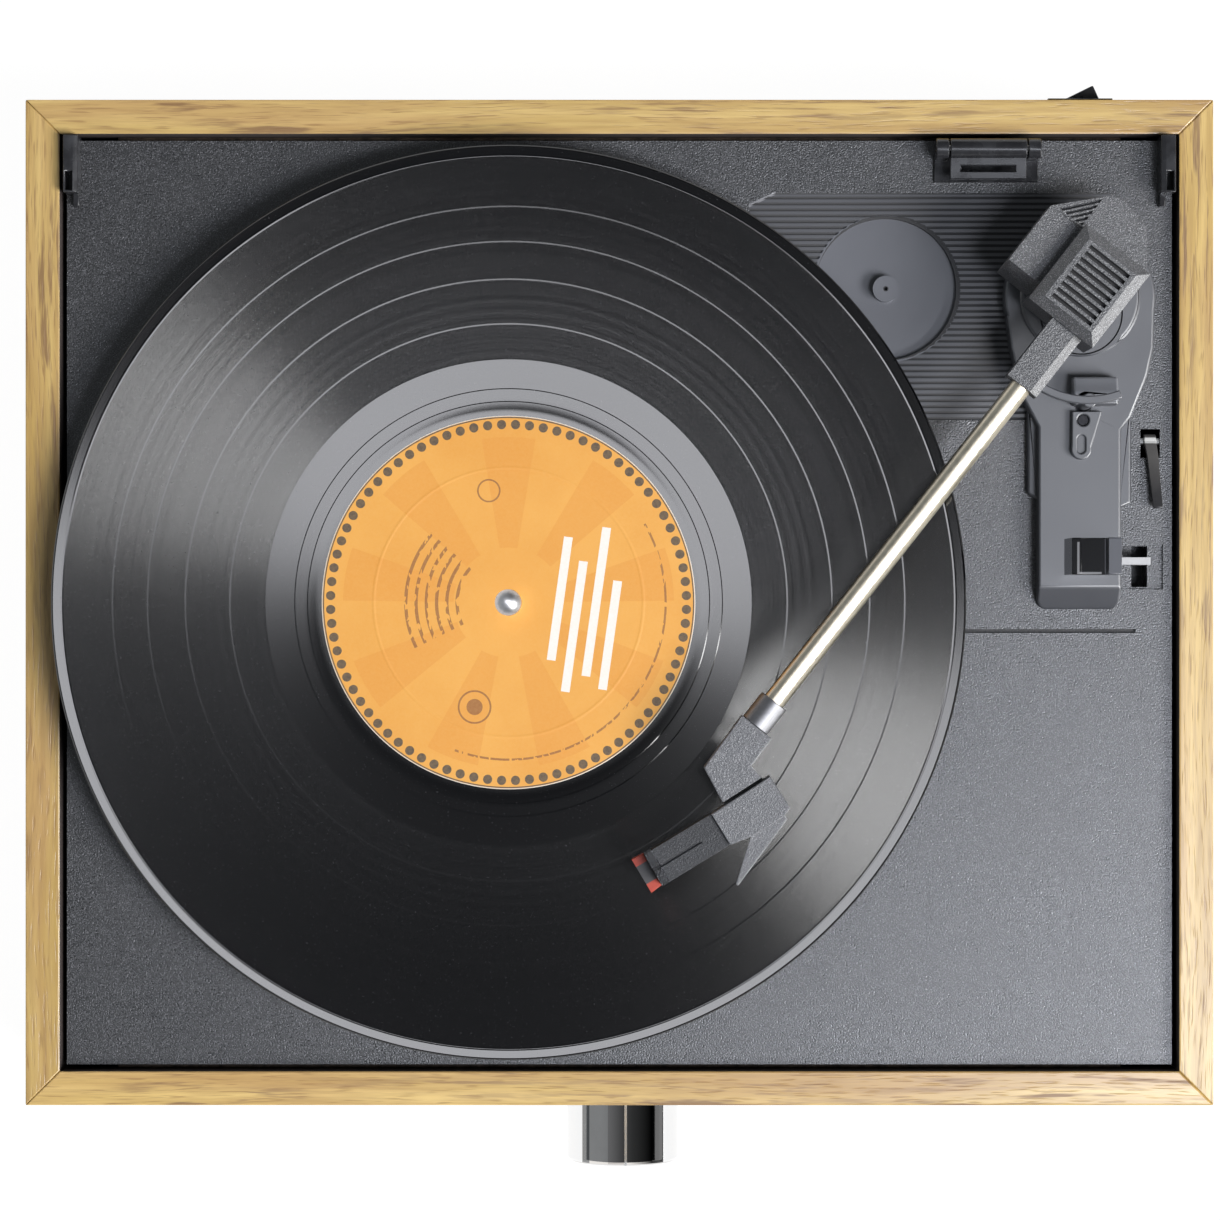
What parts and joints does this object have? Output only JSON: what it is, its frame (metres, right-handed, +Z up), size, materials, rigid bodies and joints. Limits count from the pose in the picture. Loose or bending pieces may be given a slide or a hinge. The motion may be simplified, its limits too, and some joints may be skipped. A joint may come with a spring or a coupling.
{
  "type": "record player",
  "caption": "Compact belt-drive record player in a mitred wooden plinth, with a record on the platter, a pivoted pickup arm, a cueing lift and a front volume knob.",
  "frame": {"origin": "middle of the bounding box in plan, at the underside of the feet", "axes": "+X to the right, +Y to the back, +Z up; the volume knob is on the -Y side"},
  "size_m": [0.3272, 0.3028, 0.117],
  "materials": {
    "oak": "satin oak foil, grain along each board",
    "hardboard": "raw pressed board",
    "grained_black": "fine spark-eroded grain",
    "smooth_grey": "smooth satin",
    "gloss_black": "smooth, half gloss",
    "rubber": "matt",
    "plated_steel": "zinc plated",
    "tube_metal": "satin champagne",
    "chrome": "polished",
    "brass": "turned",
    "vinyl": "pressed fine grooves",
    "label_paper": "coated paper",
    "felt": "felt",
    "red_plastic": "smooth",
    "white_plastic": "smooth",
    "circuit_board": "solder resist",
    "cone_paper": "pressed fibre"
  },
  "bodies": {
    "plinth": {"front_board": "oak", "back_board": "oak", "left_board": "oak", "right_board": "oak", "bottom_panel": "hardboard", "panel_screws": "plated_steel", "rubber_feet": "rubber", "deck_battens": "hardboard", "deck_screws": "plated_steel", "deck_plate": "grained_black", "main_bush": "brass", "motor_can": "plated_steel", "motor_screws": "plated_steel", "drive_belt": "rubber", "left_speaker": "plated_steel", "left_cone": "cone_paper", "right_speaker": "plated_steel", "right_cone": "cone_paper", "speaker_screws": "plated_steel", "amplifier_board": "circuit_board", "board_posts": "brass", "volume_pot": "plated_steel", "pot_nut": "plated_steel", "jack_plate": "gloss_black", "left_jack": "white_plastic", "right_jack": "red_plastic", "power_inlet": "gloss_black", "switch_housing": "gloss_black", "arm_base": "smooth_grey", "base_screws": "plated_steel", "lift_tongue": "smooth_grey", "lift_screw": "plated_steel", "arm_rest": "gloss_black", "slider_body": "gloss_black", "left_cover_socket": "gloss_black", "right_cover_socket": "gloss_black", "hinge_base": "gloss_black", "hinge_pin": "plated_steel"},
    "turntable": {"platter": "tube_metal", "platter_mat": "felt", "spindle": "chrome", "vinyl_record": "vinyl", "record_label": "label_paper"},
    "pulley": {"motor_pulley": "brass"},
    "turret": {"arm_turret": "smooth_grey"},
    "tonearm": {"arm_housing": "grained_black", "pivot_pin": "plated_steel", "counterweight": "plated_steel", "arm_tube": "tube_metal", "tube_collar": "plated_steel", "headshell": "grained_black", "cartridge": "gloss_black", "stylus": "red_plastic"},
    "lift": {"lift_bar": "gloss_black"},
    "cue": {"cue_lever": "gloss_black"},
    "selector": {"speed_slider": "white_plastic"},
    "knob": {"volume_knob": "chrome"},
    "rocker": {"power_rocker": "gloss_black"},
    "leaf": {"hinge_leaf": "gloss_black"}
  },
  "joints": [
    {"name": "platter_spin", "type": "hinge", "parent": "plinth", "child": "turntable", "pos_m": [-0.0303, 0.00695, 0.089], "axis": [0, 0, 1], "continuous": true},
    {"name": "pulley_spin", "type": "hinge", "parent": "plinth", "child": "pulley", "pos_m": [-0.0673, 0.07104, 0.082], "axis": [0, 0, 1], "continuous": true},
    {"name": "arm_swing", "type": "hinge", "parent": "plinth", "child": "turret", "pos_m": [0.1268, 0.08635, 0.085], "axis": [0, 0, 1], "range_deg": [-9.5, 40.7]},
    {"name": "arm_dip", "type": "hinge", "parent": "turret", "child": "tonearm", "pos_m": [0.1268, 0.08635, 0.102], "axis": [0.7869, -0.617, 0], "range_deg": [0, 1.9]},
    {"name": "cue_turn", "type": "hinge", "parent": "plinth", "child": "cue", "pos_m": [0.1468, 0.05155, 0.075], "axis": [-1, 0, 0], "range_deg": [0, 50]},
    {"name": "lift_drop", "type": "slide", "parent": "plinth", "child": "lift", "axis": [0, 0, -1], "range_m": [0, 0.0015]},
    {"name": "speed_slide", "type": "slide", "parent": "plinth", "child": "selector", "axis": [0, 1, 0], "range_m": [-0.0052, 0.0024]},
    {"name": "volume_turn", "type": "hinge", "parent": "plinth", "child": "knob", "pos_m": [0.001, -0.13155, 0.043], "axis": [0, -1, 0], "range_deg": [-150, 150]},
    {"name": "power_rock", "type": "hinge", "parent": "plinth", "child": "rocker", "pos_m": [0.1284, 0.14495, 0.062], "axis": [0, 0, 1], "range_deg": [-24, 0]},
    {"name": "leaf_swing", "type": "hinge", "parent": "plinth", "child": "leaf", "pos_m": [0.1013, 0.13165, 0.0862], "axis": [-1, 0, 0], "range_deg": [0, 95]}
  ],
  "couplings": [
    {"joint": "pulley_spin", "follows": "platter_spin", "ratio": 9.1667},
    {"joint": "cue_turn", "follows": "arm_dip", "ratio": 26.316},
    {"joint": "lift_drop", "follows": "arm_dip", "m_per_rad": 0.04523}
  ]
}
